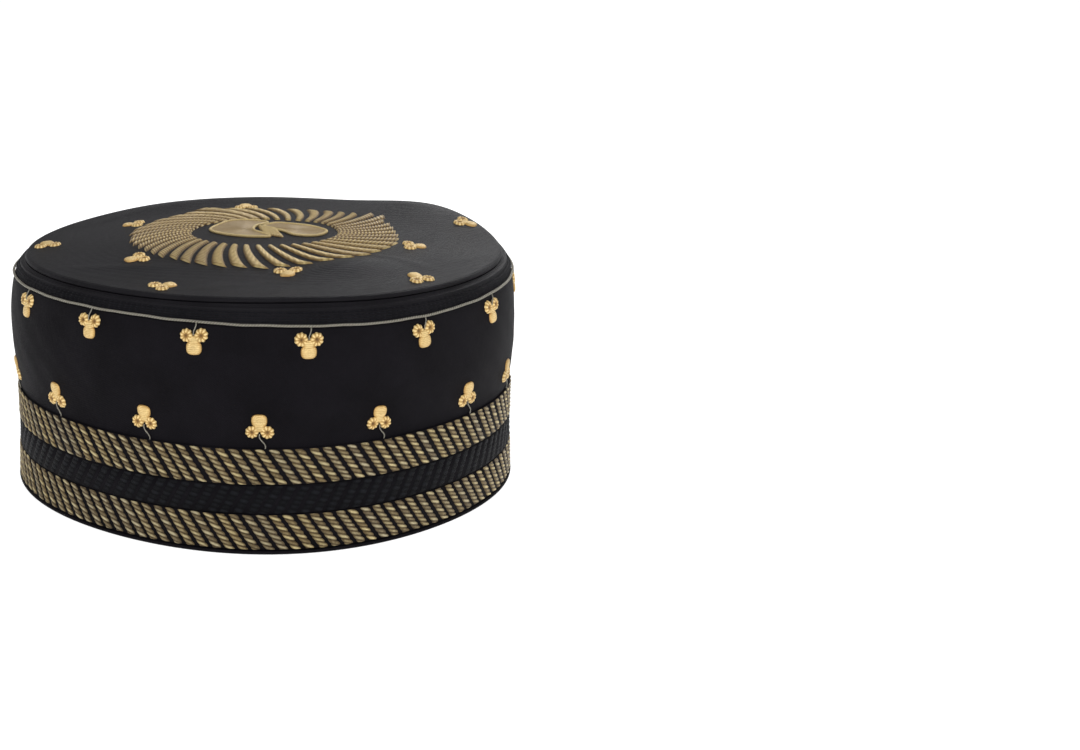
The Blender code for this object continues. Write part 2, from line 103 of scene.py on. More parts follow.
# rim plan: ellipse radius times 1 - drawIn * (1 - cos 4a) / 2
def planRadius(angle):
    ellipse = 1.0 / np.sqrt((np.cos(angle) / cap["halfLength"]) ** 2 + (np.sin(angle) / cap["halfWidth"]) ** 2)
    return ellipse * (1.0 - cap["drawIn"] * (1.0 - np.cos(4.0 * angle)) / 2.0)


def wallLean(z):
    return smoothTable(z, np.array(cap["wallHeight"]) * cap["cordHeight"], np.array(cap["wallLean"]) * cap["lean"])


clothInset = cap["gap"] + cap["relief"]
crownX = -float(wallLean(cap["cordHeight"] + cap["stripRise"] / 2.0))


# side of the cap: plan radius times the wall's scale at that height, less the inset
def sidePoint(angle, z, inset):
    angle, z, inset = np.broadcast_arrays(angle, z, inset)
    scale = smoothTable(z, np.array(cap["wallHeight"]) * cap["cordHeight"], cap["wallScale"])
    r = planRadius(angle) * scale - inset
    return np.stack([r * np.cos(angle) - wallLean(z), r * np.sin(angle), z], axis=-1)


def cordHeight(angle):
    return roundTable(angle, cap["cordLine"]) * cap["cordHeight"]


def seamHeight(angle):
    return cordHeight(angle) + roundTable(angle, cap["seamLine"]) * cap["stripRise"]


def seamRadius(angle):
    return planRadius(angle) * cap["seamScale"] - clothInset


# bump of height h at (bx, by), exp(-u^2 - v^2) in its own turned directions
def softBump(x, y, bump, sizeX=1.0, sizeY=1.0):
    bx, by, length, width, turn, height = bump
    c = math.cos(math.radians(turn))
    s = math.sin(math.radians(turn))
    dx = x - bx * sizeX
    dy = y - by * sizeY
    u = (dx * c + dy * s) / (length * sizeX)
    v = (-dx * s + dy * c) / (width * sizeY)
    return height * np.exp(-u * u - v * v)


# crown's top face: seam height eased to its mean, a rise inside riseFullAt, folds and fine creases
def crownHeight(x, y, fine=True):
    x = np.asarray(x, float)
    y = np.asarray(y, float)
    angle = np.arctan2(y, x - crownX)
    share = np.hypot(x - crownX, y) / seamRadius(angle)
    inside = np.clip(share, 0.0, 1.0)
    mean = np.mean(seamHeight(np.arange(64) * math.pi / 32.0))
    z = mean + (seamHeight(angle) - mean) * inside ** 2 + cap["gap"] + cap["crown"]
    t = np.clip((1.0 - share) / (1.0 - cap["riseFullAt"]), 0.0, 1.0)
    z = z + cap["crownRise"] * (0.35 * t + 0.65 * t * t * (3.0 - 2.0 * t))
    fade = 1.0 - inside ** 10
    for fold in crownFolds:
        z = z + softBump(x, y, fold, cap["halfLength"], cap["halfWidth"]) * cap["foldHeight"] * fade
    if fine:
        for crease in crownCreases:
            z = z + softBump(x, y, crease) * fade
    return z


# fixed pseudo-random numbers from 0 to 1, one for each index
def handSpread(index, seed):
    value = np.sin(np.asarray(index, float) * 12.9898 + seed * 78.233) * 43758.5453
    return value - np.floor(value)


# mesh from grids p[count, nu, nv]: quads between neighbours, closed round where wrapped;
# uv runs 0 to 1 along each way times uvSize, values is a dictionary of point attributes
def gridPiece(name, p, material, wrapU=False, wrapV=False, uvSize=(1.0, 1.0), values=None, flip=False):
    p = np.asarray(p, float)
    if p.ndim == 3:
        p = p[None]
    count, nu, nv, _ = p.shape
    index = np.arange(count * nu * nv).reshape(count, nu, nv)
    if wrapU:
        index = np.concatenate([index, index[:, :1]], axis=1)
    if wrapV:
        index = np.concatenate([index, index[:, :, :1]], axis=2)
    quads = np.stack([index[:, :-1, :-1], index[:, 1:, :-1], index[:, 1:, 1:], index[:, :-1, 1:]], axis=-1)
    mu, mv = index.shape[1], index.shape[2]
    u = np.linspace(0.0, uvSize[0], mu)
    v = np.linspace(0.0, uvSize[1], mv)
    uv = np.stack(np.broadcast_arrays(u[:, None], v[None, :]), axis=-1)
    corner = np.stack([uv[:-1, :-1], uv[1:, :-1], uv[1:, 1:], uv[:-1, 1:]], axis=2)
    corner = np.broadcast_to(corner[None], (count,) + corner.shape)
    quads = quads.reshape(-1, 4)
    corner = corner.reshape(-1, 4, 2)
    if flip:
        quads = quads[:, ::-1]
        corner = corner[:, ::-1]
    return {"points": p.reshape(-1, 3), "quads": quads, "uv": corner,
            "values": {k: np.broadcast_to(w, (count, nu, nv)).reshape(-1) for k, w in (values or {}).items()},
            "name": name, "material": material}


# several grids joined into one object, each with its own material
def addObject(name, grids, nodes, body="root"):
    points = np.concatenate([g["points"] for g in grids])
    starts = np.cumsum([0] + [len(g["points"]) for g in grids[:-1]])
    quads = np.concatenate([g["quads"] + s for g, s in zip(grids, starts)])
    uv = np.concatenate([g["uv"] for g in grids])
    materials = []
    for g in grids:
        if g["material"] not in materials:
            materials.append(g["material"])
    slots = np.concatenate([np.full(len(g["quads"]), materials.index(g["material"])) for g in grids])
    mesh = bpy.data.meshes.new(name)
    mesh.vertices.add(len(points))
    mesh.vertices.foreach_set("co", (points * 0.001).ravel())
    mesh.loops.add(quads.size)
    mesh.loops.foreach_set("vertex_index", quads.ravel().astype(np.int32))
    mesh.polygons.add(len(quads))
    mesh.polygons.foreach_set("loop_start", np.arange(0, quads.size, 4, dtype=np.int32))
    mesh.polygons.foreach_set("material_index", slots.astype(np.int32))
    mesh.update(calc_edges=True)
    layer = mesh.uv_layers.new(name="stitchMap")
    layer.data.foreach_set("uv", uv.ravel())
    for key in ("shade", "tint"):
        attribute = mesh.attributes.new(name=key, type="FLOAT", domain="POINT")
        full = [g["values"].get(key, np.full(len(g["points"]), 1.0 if key == "shade" else 0.5)) for g in grids]
        attribute.data.foreach_set("value", np.concatenate(full).astype(np.float32))
    mesh.polygons.foreach_set("use_smooth", np.ones(len(quads), bool))
    for material in materials:
        mesh.materials.append(material)
    mesh.validate(clean_customdata=False)
    obj = bpy.data.objects.new(name, mesh)
    scene.collection.objects.link(obj)
    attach(obj, body)
    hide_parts(*nodes)
    print("made", name, len(quads) * 2, "triangles")
    return obj


# tube round a path[count, n]: centre + radius * (cos f * side + sin f * up), twisted strands
# making the radius swell as 1 + bulge * cos(strands * (f - turn))
def tubeGrid(path, out, radius, sides=8, closed=False, strands=0, turns=0.0, bulge=0.0):
    path = np.asarray(path, float)
    if path.ndim == 2:
        path = path[None]
    out = np.broadcast_to(out, path.shape)
    if closed:
        tangent = np.roll(path, -1, axis=1) - np.roll(path, 1, axis=1)
    else:
        tangent = np.gradient(path, axis=1)
    tangent = tangent / np.linalg.norm(tangent, axis=-1, keepdims=True)
    side = np.cross(tangent, out)
    side = side / np.linalg.norm(side, axis=-1, keepdims=True)
    up = np.cross(side, tangent)
    n = path.shape[1]
    f = np.arange(sides) * 2.0 * math.pi / sides
    twist = np.arange(n) / n * turns * 2.0 * math.pi
    swell = 1.0 + bulge * np.cos(strands * (f[None, :] - twist[:, None])) if strands else np.ones((n, sides))
    r = np.broadcast_to(np.asarray(radius, float), (path.shape[0], n))[:, :, None] * swell[None]
    ring = np.cos(f)[None, None, :, None] * side[:, :, None, :] + np.sin(f)[None, None, :, None] * up[:, :, None, :]
    # shade: 0 between the twisted strands, 1 on their crests, used as painted shade between the strands
    shade = np.broadcast_to(swell, r.shape)
    low, high = 1.0 - abs(bulge), 1.0 + abs(bulge)
    shade = (shade - low) / max(high - low, 1e-6) if strands else np.ones(r.shape)
    return path[:, :, None, :] + r[..., None] * ring, shade


# node helpers
def newNode(tree, kind, **inputs):
    node = tree.nodes.new(kind)
    for key, value in inputs.items():
        if hasattr(node, key) and key not in node.inputs:
            setattr(node, key, value)
        else:
            node.inputs[key.replace("_", " ")].default_value = value
    return node


# cloth: two close colours mixed by noise, fine weave and soft slubs as bump
def clothMaterial(name, look):
    material = bpy.data.materials.new(name)
    material.use_nodes = True
    tree = material.node_tree
    link = tree.links.new
    shader = tree.nodes["Principled BSDF"]
    shader.inputs["Roughness"].default_value = look["roughness"]
    shader.inputs["Specular IOR Level"].default_value = look["specular"]
    shader.inputs["Sheen Weight"].default_value = look["sheen"]
    shader.inputs["Sheen Roughness"].default_value = 0.45
    shader.inputs["Sheen Tint"].default_value = (0.75, 0.72, 0.80, 1.0)
    where = newNode(tree, "ShaderNodeTexCoord")
    blotch = newNode(tree, "ShaderNodeTexNoise", Scale=look["blotch"], Detail=4.0, Roughness=0.6)
    link(where.outputs["Object"], blotch.inputs["Vector"])
    ramp = newNode(tree, "ShaderNodeValToRGB")
    ramp.color_ramp.elements[0].position = 0.32
    ramp.color_ramp.elements[0].color = (*look["dark"], 1.0)
    ramp.color_ramp.elements[1].position = 0.70
    ramp.color_ramp.elements[1].color = (*look["light"], 1.0)
    link(blotch.outputs["Fac"], ramp.inputs["Fac"])
    link(ramp.outputs["Color"], shader.inputs["Base Color"])
    # weave: fine waves that cross, slightly broken by noise
    weaveA = newNode(tree, "ShaderNodeTexWave", Scale=look["weave"], Distortion=1.2, Detail=1.0)
    weaveA.bands_direction = "Z"
    weaveB = newNode(tree, "ShaderNodeTexWave", Scale=look["weave"] * 0.9, Distortion=1.2, Detail=1.0)
    weaveB.bands_direction = "DIAGONAL"
    slub = newNode(tree, "ShaderNodeTexNoise", Scale=look["slub"], Detail=5.0, Roughness=0.65)
    for node in (weaveA, weaveB, slub):
        link(where.outputs["Object"], node.inputs["Vector"])
    both = newNode(tree, "ShaderNodeMath", operation="ADD")
    link(weaveA.outputs["Fac"], both.inputs[0])
    link(weaveB.outputs["Fac"], both.inputs[1])
    total = newNode(tree, "ShaderNodeMath", operation="MULTIPLY_ADD")
    link(slub.outputs["Fac"], total.inputs[0])
    total.inputs[1].default_value = 3.0
    link(both.outputs[0], total.inputs[2])
    bump = newNode(tree, "ShaderNodeBump", Strength=look["bump"], Distance=0.0004)
    link(total.outputs[0], bump.inputs["Height"])
    link(bump.outputs["Normal"], shader.inputs["Normal"])
    return material


# thread: painted shade in the grooves and painted highlight on the ridges by the shade attribute, each strip a
# little different by tint, and fine threads as bump along the stitch map
def threadMaterial(name, look):
    material = bpy.data.materials.new(name)
    material.use_nodes = True
    tree = material.node_tree
    link = tree.links.new
    shader = tree.nodes["Principled BSDF"]
    shader.inputs["Roughness"].default_value = look["roughness"]
    shader.inputs["Metallic"].default_value = look["metallic"]
    shader.inputs["Specular IOR Level"].default_value = look.get("specular", 0.5)
    shade = newNode(tree, "ShaderNodeAttribute", attribute_name="shade")
    tint = newNode(tree, "ShaderNodeAttribute", attribute_name="tint")
    where = newNode(tree, "ShaderNodeTexCoord")
    # noise added to the shade value: uneven wear of the thread and an uneven painted glint
    grain = newNode(tree, "ShaderNodeTexNoise", Scale=look["grain"], Detail=3.0, Roughness=0.7)
    link(where.outputs["Object"], grain.inputs["Vector"])
    wave = newNode(tree, "ShaderNodeMath", operation="MULTIPLY_ADD")
    link(grain.outputs["Fac"], wave.inputs[0])
    wave.inputs[1].default_value = look["unevenness"]
    link(shade.outputs["Fac"], wave.inputs[2])
    level = newNode(tree, "ShaderNodeMath", operation="SUBTRACT")
    link(wave.outputs[0], level.inputs[0])
    level.inputs[1].default_value = look["unevenness"] * 0.5
    # ramp of the shade value: dark is painted shade in the grooves, light a painted highlight on the ridges
    ramp = newNode(tree, "ShaderNodeValToRGB")
    elements = ramp.color_ramp.elements
    elements[0].position = 0.05
    elements[0].color = (*look["dark"], 1.0)
    elements[1].position = 0.95
    elements[1].color = (*look["light"], 1.0)
    middle = elements.new(0.5)
    middle.color = (*look["middle"], 1.0)
    link(level.outputs[0], ramp.inputs["Fac"])
    warm = newNode(tree, "ShaderNodeMix", data_type="RGBA", blend_type="MULTIPLY")
    warm.inputs["Factor"].default_value = 1.0
    shift = newNode(tree, "ShaderNodeValToRGB")
    shift.color_ramp.elements[0].color = (*look["tintLow"], 1.0)
    shift.color_ramp.elements[1].color = (*look["tintHigh"], 1.0)
    link(tint.outputs["Fac"], shift.inputs["Fac"])
    link(ramp.outputs["Color"], warm.inputs[6])
    link(shift.outputs["Color"], warm.inputs[7])
    link(warm.outputs[2], shader.inputs["Base Color"])
    fibre = newNode(tree, "ShaderNodeTexWave", Scale=look["threads"], Distortion=0.8, Detail=1.0)
    fibre.bands_direction = look.get("way", "X")
    link(where.outputs["UV"], fibre.inputs["Vector"])
    bump = newNode(tree, "ShaderNodeBump", Strength=look["bump"], Distance=0.00015)
    link(fibre.outputs["Fac"], bump.inputs["Height"])
    link(bump.outputs["Normal"], shader.inputs["Normal"])
    return material


wallCloth = clothMaterial("blackSatin", {
    "dark": (0.0036, 0.0031, 0.0043), "light": (0.0062, 0.0054, 0.0074), "roughness": 0.62,
    "specular": 0.05, "sheen": 0.0, "blotch": 55.0, "weave": 900.0, "slub": 420.0, "bump": 0.35,
})
# satin of the crown and the rim strip: the same black satin as the wall, its colour made lighter as painted light
# from above on these faces
satinWithPaintedLight = clothMaterial("crownSatinPaintedLight", {
    "dark": (0.0058, 0.0053, 0.0068), "light": (0.0096, 0.0089, 0.0112), "roughness": 0.52,
    "specular": 0.08, "sheen": 0.01, "blotch": 45.0, "weave": 900.0, "slub": 380.0, "bump": 0.35,
})
# thread colours: dark is the painted shade in grooves and at edges, light the painted highlight on ridges, middle
# between them; tintLow and tintHigh vary each piece at random
bandGold = threadMaterial("bandGold", {
    "dark": (0.016, 0.006, 0.003), "middle": (0.200, 0.150, 0.075), "light": (0.640, 0.560, 0.340),
    "tintLow": (0.84, 0.84, 0.88), "tintHigh": (1.08, 1.02, 0.84), "roughness": 0.42, "metallic": 0.45,
    "grain": 1100.0, "unevenness": 0.60, "threads": 18.0, "bump": 0.6,
})
rayGold = threadMaterial("rayGold", {
    "dark": (0.045, 0.020, 0.008), "middle": (0.330, 0.235, 0.105), "light": (0.760, 0.630, 0.330),
    "tintLow": (0.80, 0.76, 0.78), "tintHigh": (1.10, 1.06, 0.90), "roughness": 0.42, "metallic": 0.4,
    "grain": 800.0, "unevenness": 0.35, "threads": 30.0, "bump": 0.5,
})
trefoilGold = threadMaterial("trefoilGold", {
    "dark": (0.090, 0.038, 0.008), "middle": (0.480, 0.290, 0.085), "light": (0.880, 0.690, 0.330),
    "tintLow": (0.90, 0.88, 0.86), "tintHigh": (1.06, 1.02, 0.96), "roughness": 0.40, "metallic": 0.35,
    "grain": 800.0, "unevenness": 0.40, "threads": 12.0, "bump": 0.5,
})
paleThread = threadMaterial("paleThread", {
    "dark": (0.030, 0.025, 0.018), "middle": (0.150, 0.138, 0.110), "light": (0.380, 0.360, 0.300),
    "tintLow": (0.95, 0.95, 0.95), "tintHigh": (1.0, 1.0, 1.0), "roughness": 0.45, "metallic": 0.4,
    "grain": 900.0, "unevenness": 0.4, "threads": 20.0, "bump": 0.4,
})
blackThread = threadMaterial("blackThread", {
    "dark": (0.0014, 0.0014, 0.0020), "middle": (0.0034, 0.0036, 0.0050), "light": (0.0085, 0.0090, 0.0118),
    "tintLow": (0.92, 0.92, 0.92), "tintHigh": (1.05, 1.05, 1.05), "roughness": 0.50, "metallic": 0.0,
    "specular": 0.08, "grain": 700.0, "unevenness": 0.4, "threads": 18.0, "bump": 0.5,
})
print("materials ready")

roundSteps = 400
around = np.arange(roundSteps) * 2.0 * math.pi / roundSteps

# side wall of the cap, outside and inside faces in one closed skin
wallLook = {"rows": 64, "insideRows": 26, "waviness": 0.16, "pucker": 0.10}


# small waves in the wall cloth, faded out at the bands and the cord
def wallWaves(angle, z):
    free = np.clip((z - 39.5) / 8.0, 0.0, 1.0) * np.clip((cordHeight(angle) - 1.5 - z) / 8.0, 0.0, 1.0)
    long = np.sin(5.0 * angle + 0.06 * z + 0.4) + 0.7 * np.sin(11.0 * angle - 0.10 * z + 1.9)
    fine = np.sin(37.0 * angle + 0.35 * z) * np.sin(0.21 * z + 7.0 * angle)
    return free * (wallLook["waviness"] * long + wallLook["pucker"] * fine)


def buildWall():
    low = cap["bindingTop"] + cap["gap"]
    share = np.linspace(0.0, 1.0, wallLook["rows"])
    top = cordHeight(around) - cap["gap"] / 2.0
    z = low + (top[:, None] - low) * share[None, :]
    a = np.broadcast_to(around[:, None], z.shape)
    outside = sidePoint(a, z, clothInset - wallWaves(a, z))
    share = np.linspace(1.0, 0.0, wallLook["insideRows"])
    z = low + (top[:, None] - low) * share[None, :]
    a = np.broadcast_to(around[:, None], z.shape)
    inside = sidePoint(a, z, clothInset + cap["wall"] - 0.6 * wallWaves(a, z))
    p = np.concatenate([outside, inside], axis=1)
    grid = gridPiece("wall", p, wallCloth, wrapU=True, wrapV=True)
    wall = addObject("sideWall", [grid], ["side_wall"])


# bound edge: a flattened roll of cloth, section x = half * cos f ^ 0.6, z = high * sin f ^ 0.6
def buildBinding():
    f = np.arange(20) * 2.0 * math.pi / 20
    half = (clothInset + cap["wall"] + 0.5) / 2.0
    cx = np.sign(np.cos(f)) * np.abs(np.cos(f)) ** 0.6
    cz = np.sign(np.sin(f)) * np.abs(np.sin(f)) ** 0.6
    inset = half - half * cx
    z = cap["bindingTop"] / 2.0 * (1.0 + cz)
    p = sidePoint(around[:, None], z[None, :], inset[None, :])
    grid = gridPiece("binding", p, wallCloth, wrapU=True, wrapV=True)
    addObject("bottomBinding", [grid], ["bottom_binding"])


# slanting rope-stitched strips of a band: u runs up the strip, v across it, and the height is
# dome(v) * (1 - dip + dip * |cos(pi * ridges * u + lean * v)|), tapered at both ends
bandLook = {
    "strips": 120, "width": 3.75, "slant": 8.6, "ridges": 7.0, "dip": 0.42, "lean": 1.0,
    "rows": 57, "columns": 9, "high": 0.88, "base": 0.36,
}
blackLook = {
    "strips": 120, "width": 4.1, "slant": -5.6, "ridges": 6.0, "dip": 0.36, "lean": 0.8,
    "rows": 38, "columns": 7, "high": 0.58, "base": 0.30,
}


def stripGrids(low, high, look, material, seed, backing):
    n = look["strips"]
    u = np.linspace(0.0, 1.0, look["rows"])[None, :, None]
    v = np.linspace(-1.0, 1.0, look["columns"])[None, None, :]
    strip = np.arange(n)[:, None, None]
    wobble = (handSpread(strip, seed) - 0.5)
    middle = (low + high) / 2.0
    reach = planRadius(strip * 2.0 * math.pi / n)
    angle = strip * 2.0 * math.pi / n + wobble * 0.006
    phase = handSpread(strip, seed + 3) * 0.7
    stretch = 0.10 * np.sin(2.0 * math.pi * u + 6.0 * handSpread(strip, seed + 4))
    line = math.pi * (look["ridges"] * u + phase + stretch) + look["lean"] * v
    wave = np.abs(np.cos(line)) ** 0.8
    each = 0.75 + 0.25 * np.sin(7.3 * strip + 3.1 * np.floor(line / math.pi + 0.5) + seed)
    ends = np.clip(np.minimum(u, 1.0 - u) / 0.03, 0.0, 1.0) ** 0.5
    dome = (1.0 - np.abs(v) ** 2.8) ** 0.7
    width = look["width"] * (0.90 + 0.14 * wave) * (1.0 + 0.06 * wobble) * (0.86 + 0.14 * ends)
    along = look["slant"] * (0.5 - u) + v * width / 2.0 + 0.12 * (wave - 0.5)
    rise = look["high"] * dome * (1.0 - look["dip"] + look["dip"] * wave) * ends
    z = low + (high - low) * (u + 0.012 * wobble * np.sin(9.0 * strip)) + v * 0.0
    z = np.clip(z, low, high)
    a = angle + along / reach
    inset = clothInset - cap["gap"] - 0.02 - rise
    p = sidePoint(a, z, inset)
    # shade: painted shade in the valleys between the lumps and towards the strip edges, with a random tone for each
    # lump (each)
    shade = np.broadcast_to((0.10 + 0.90 * wave * each) * (0.10 + 0.90 * dome ** 1.3), p.shape[:-1])
    tint = np.broadcast_to(handSpread(strip, seed + 7), p.shape[:-1])
    strips = gridPiece("strips", p, material, uvSize=(3.0, 1.0), values={"shade": shade, "tint": tint}, flip=True)
    # cloth under the strips: a low ring with a closed section
    back = clothInset - cap["gap"]
    section = np.array([[low, back], [low, back - look["base"]], [high, back - look["base"]], [high, back]])
    ring = sidePoint(around[:, None], section[None, :, 0], section[None, :, 1])
    under = gridPiece("under", ring, backing, wrapU=True, wrapV=True,
                      values={"shade": np.full((1, roundSteps, 4), 0.0)})
    return [under, strips]


def buildBands():
    gold = bandLook
    addObject("goldBandLower", stripGrids(*cap["lowerBand"], gold, bandGold, 1, wallCloth), ["gold_band_lower"])
    addObject("goldBandUpper", stripGrids(*cap["upperBand"], gold, bandGold, 2, wallCloth), ["gold_band_upper"])
    addObject("blackBand", stripGrids(*cap["blackBand"], blackLook, blackThread, 5, wallCloth), ["black_band"])


# twisted cord along the top of the wall
cordLook = {"diameter": 0.82, "steps": 2400, "turns": 260, "wander": 0.07}


def buildCord():
    a = np.arange(cordLook["steps"]) * 2.0 * math.pi / cordLook["steps"]
    wander = cordLook["wander"] * (np.sin(23.0 * a + 1.0) + 0.6 * np.sin(41.0 * a))
    radius = cordLook["diameter"] / 2.0
    path = sidePoint(a, cordHeight(a) + wander, clothInset - cap["gap"] - radius)
    out = np.stack([np.cos(a), np.sin(a), np.zeros_like(a)], axis=-1)
    p, shade = tubeGrid(path, out, radius, 10, True, 2, cordLook["turns"], 0.22)
    # cord shade: painted shade between the twisted strands
    grid = gridPiece("cord", p, paleThread, wrapU=True, wrapV=True, uvSize=(200.0, 1.0), values={"shade": 0.25 + 0.75 * shade})
    addObject("goldCord", [grid], ["gold_cord"])


# strip from the cord to the crown seam: profile of (share of slope inwards, share of height, relief)
stripLook = {
    "rows": 40, "stitchRows": (0.14, 0.29, 0.44, 0.59), "stitch": 2.3, "ridgeAt": 0.76, "ridge": 0.45,
}


# point on the strip, s from 0 at the cord to 1 at the seam, lift outwards from the cloth
def stripPoint(angle, s, lift):
    angle, s, lift = np.broadcast_arrays(angle, s, lift)
    low = cordHeight(angle) + cap["gap"] / 2.0
    high = seamHeight(angle)
    foot = planRadius(angle) * smoothTable(low, np.array(cap["wallHeight"]) * cap["cordHeight"], cap["wallScale"]) - clothInset
    seam = seamRadius(angle)
    inwards = smoothTable(s, (0.0, 0.45, 0.8, 1.0), (0.0, 0.22, 0.66, 1.0))
    r = foot + (seam - foot) * inwards
    z = low + (high - low) * s
    slope = np.arctan2((high - low) * 1.0, np.maximum(foot - seam, 0.1)) * (1.0 - 0.35 * s)
    r = r + lift * np.sin(slope)
    z = z + lift * np.cos(slope)
    return np.stack([r * np.cos(angle) + crownX, r * np.sin(angle), z], axis=-1)


def buildStrip():
    s = np.linspace(0.0, 1.0, stripLook["rows"])
    ridge = stripLook["ridge"] * np.exp(-((s - stripLook["ridgeAt"]) / 0.06) ** 2)
    quilt = sum(-0.12 * np.exp(-((s - at) / 0.03) ** 2) for at in stripLook["stitchRows"])
    small = 0.05 * np.sin(90.0 * around)[:, None] * np.exp(-((s - 0.4) / 0.3) ** 2)[None, :]
    outside = stripPoint(around[:, None], s[None, :], (ridge + quilt)[None, :] + small)
    back = np.linspace(1.0, 0.0, 14)
    inside = stripPoint(around[:, None], back[None, :], -cap["wall"] * np.ones_like(back)[None, :])
    inside[..., 2] = np.minimum(inside[..., 2], seamHeight(around)[:, None] - 0.1)
    p = np.concatenate([outside, inside], axis=1)
    # the strip in the lighter satin, its extra lightness painted light from above
    grids = [gridPiece("strip", p, satinWithPaintedLight, wrapU=True, wrapV=True)]
    # rows of short black stitches, each a small tube dipping in at both ends
    length = 565.0
    for row, at in enumerate(stripLook["stitchRows"]):
        n = int(length / stripLook["stitch"])
        k = np.arange(n)[:, None]
        t = np.linspace(0.0, 1.0, 5)[None, :]
        a = (k + 0.1 + 0.8 * t + 0.3 * handSpread(k, row)) * 2.0 * math.pi / n
        path = stripPoint(a, at + 0.012 * (handSpread(k, row + 9) - 0.5), 0.02 + 0.16 * np.sin(math.pi * t))
        out = np.stack([np.cos(a), np.sin(a), np.ones_like(a) * 0.6], axis=-1)
        tube, shade = tubeGrid(path, out, 0.17 * np.sin(math.pi * (0.08 + 0.84 * t)) ** 0.5, 5)
        grids.append(gridPiece("stitch", tube, blackThread, wrapV=True, values={"shade": np.full(tube.shape[:-1], 0.95)}))
    strip = addObject("rimStrip", grids, ["rim_strip"])
    return strip


# crown cloth: rings from the middle to the seam, rolled down at the seam, with its under face
crownLook = {"rows": 110, "underRows": 40}


def buildCrown():
    share = np.linspace(0.0, 0.985, crownLook["rows"]) ** 0.9
    share = share / share[-1] * 0.985
    seam = seamRadius(around)
    x = crownX + seam[:, None] * share[None, :] * np.cos(around)[:, None]
    y = seam[:, None] * share[None, :] * np.sin(around)[:, None]
    top = np.stack([x, y, crownHeight(x, y)], axis=-1)
    roll = np.array([0.994, 0.999, 1.001, 1.0])
    drop = np.array([0.78, 0.45, 0.15, 0.0])
    edge = seamHeight(around) + cap["gap"]
    end = top[:, -1, 2]
    x = crownX + seam[:, None] * roll[None, :] * np.cos(around)[:, None]
    y = seam[:, None] * roll[None, :] * np.sin(around)[:, None]
    rim = np.stack([x, y, edge[:, None] + (end - edge)[:, None] * drop[None, :]], axis=-1)
    share = np.linspace(0.985, 0.0, crownLook["underRows"])
    x = crownX + seam[:, None] * share[None, :] * np.cos(around)[:, None]
    y = seam[:, None] * share[None, :] * np.sin(around)[:, None]
    under = np.stack([x, y, crownHeight(x, y) - cap["crown"]], axis=-1)
    p = np.concatenate([top, rim, under], axis=1)
    # the crown in the lighter satin, its extra lightness painted light from above
    grid = gridPiece("crown", p, satinWithPaintedLight, wrapU=True)
    crown = addObject("crownPanel", [grid], ["crown_panel"])
    return crown


# rays of the medallion: an oval ring, its rays closer together at the sides; ridged and nearly
# touching there, plain satin bars with wide gaps at the front and back
rayLook = {
    "count": 44, "inner": (28.5, 23.6), "outer": (52.4, 46.8), "start": 0.73, "crowdSides": 0.30,
    "crowdRight": 0.06, "swirl": 16.5, "swirlChange": 4.5, "swirlMostAt": 130.0,
    "ridges": 17.0, "rows": 110, "columns": 9, "high": 0.95,
}


# radius of an oval at an angle, from its half sizes along and across
def ovalRadius(angle, half):
    return 1.0 / np.sqrt((np.cos(angle) / half[0]) ** 2 + (np.sin(angle) / half[1]) ** 2)


# soft window round an angle in degrees: exp(-(difference / width)^2)
def nearAngle(angle, at, width):
    away = (np.degrees(angle) - at + 180.0) % 360.0 - 180.0
    return np.exp(-(away / width) ** 2)


